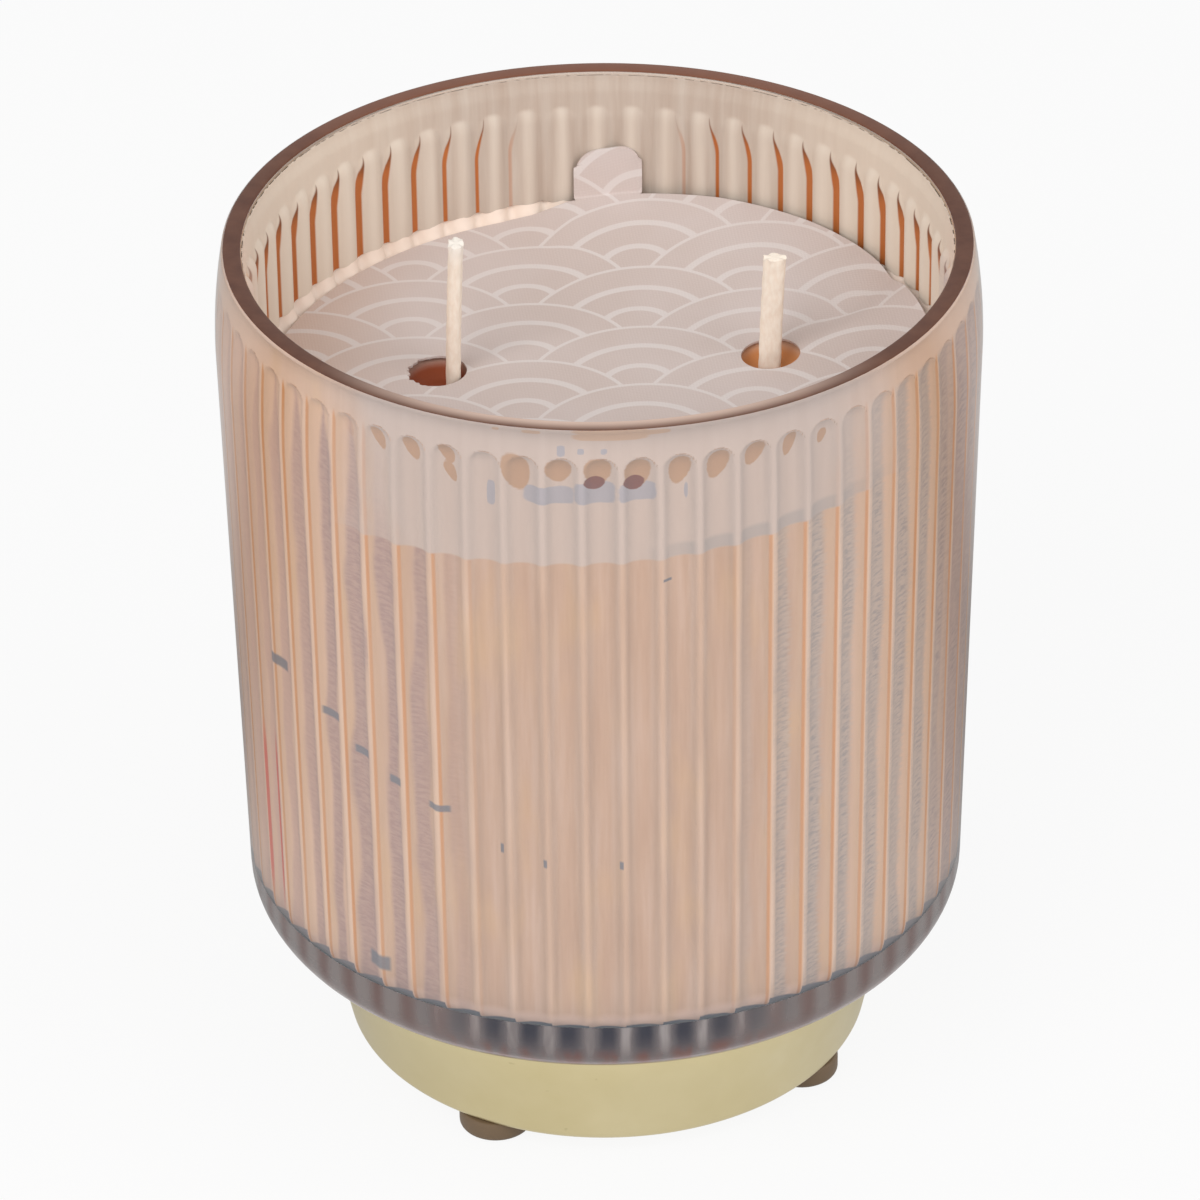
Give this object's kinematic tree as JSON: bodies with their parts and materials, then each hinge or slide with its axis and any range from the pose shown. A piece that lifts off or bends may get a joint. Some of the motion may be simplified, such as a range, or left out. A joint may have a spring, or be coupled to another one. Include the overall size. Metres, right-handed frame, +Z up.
{
  "type": "glass container candle",
  "caption": "Wax candle in a rose-tinted glass jar with a ribbed bore, on a low brass-coloured metal pedestal with bumper feet, under a loose paper dust cover that lifts off.",
  "frame": {"origin": "centre of the footprint on the surface that the feet stand on", "axes": "+Z up along the jar's axis, -Y towards the front, +X to the right seen from the front"},
  "size_m": [0.1, 0.1, 0.122],
  "materials": {
    "lustre_glass": "clear glass with a pale rose and amber lustre",
    "wax": "cream wax, softly translucent",
    "cotton_wick": "waxed cotton braid",
    "tin": "bright tinplate",
    "foam_sticker": "white double-sided foam",
    "printed_paper": "matt printed paper with a fine linen grain",
    "satin_brass": "satin pale brass",
    "clear_glue": "set clear glue",
    "bumper_rubber": "smoky translucent rubber"
  },
  "bodies": {
    "candle": {"glass_jar": "lustre_glass", "wax_fill": "wax", "wick_left": "cotton_wick", "wick_right": "cotton_wick", "wick_tab_left": "tin", "wick_tab_right": "tin", "wick_sticker_left": "foam_sticker", "wick_sticker_right": "foam_sticker", "pedestal_cup": "satin_brass", "pedestal_glue_ring": "clear_glue", "foot_front_left": "bumper_rubber", "foot_front_right": "bumper_rubber", "foot_back_right": "bumper_rubber", "foot_back_left": "bumper_rubber"},
    "dust_cover": {"dust_cover": "printed_paper"}
  },
  "joints": [
    {"name": "dust_cover_lift", "type": "slide", "parent": "candle", "child": "dust_cover", "axis": [0, 0, 1], "range_m": [0, 0.045]}
  ]
}
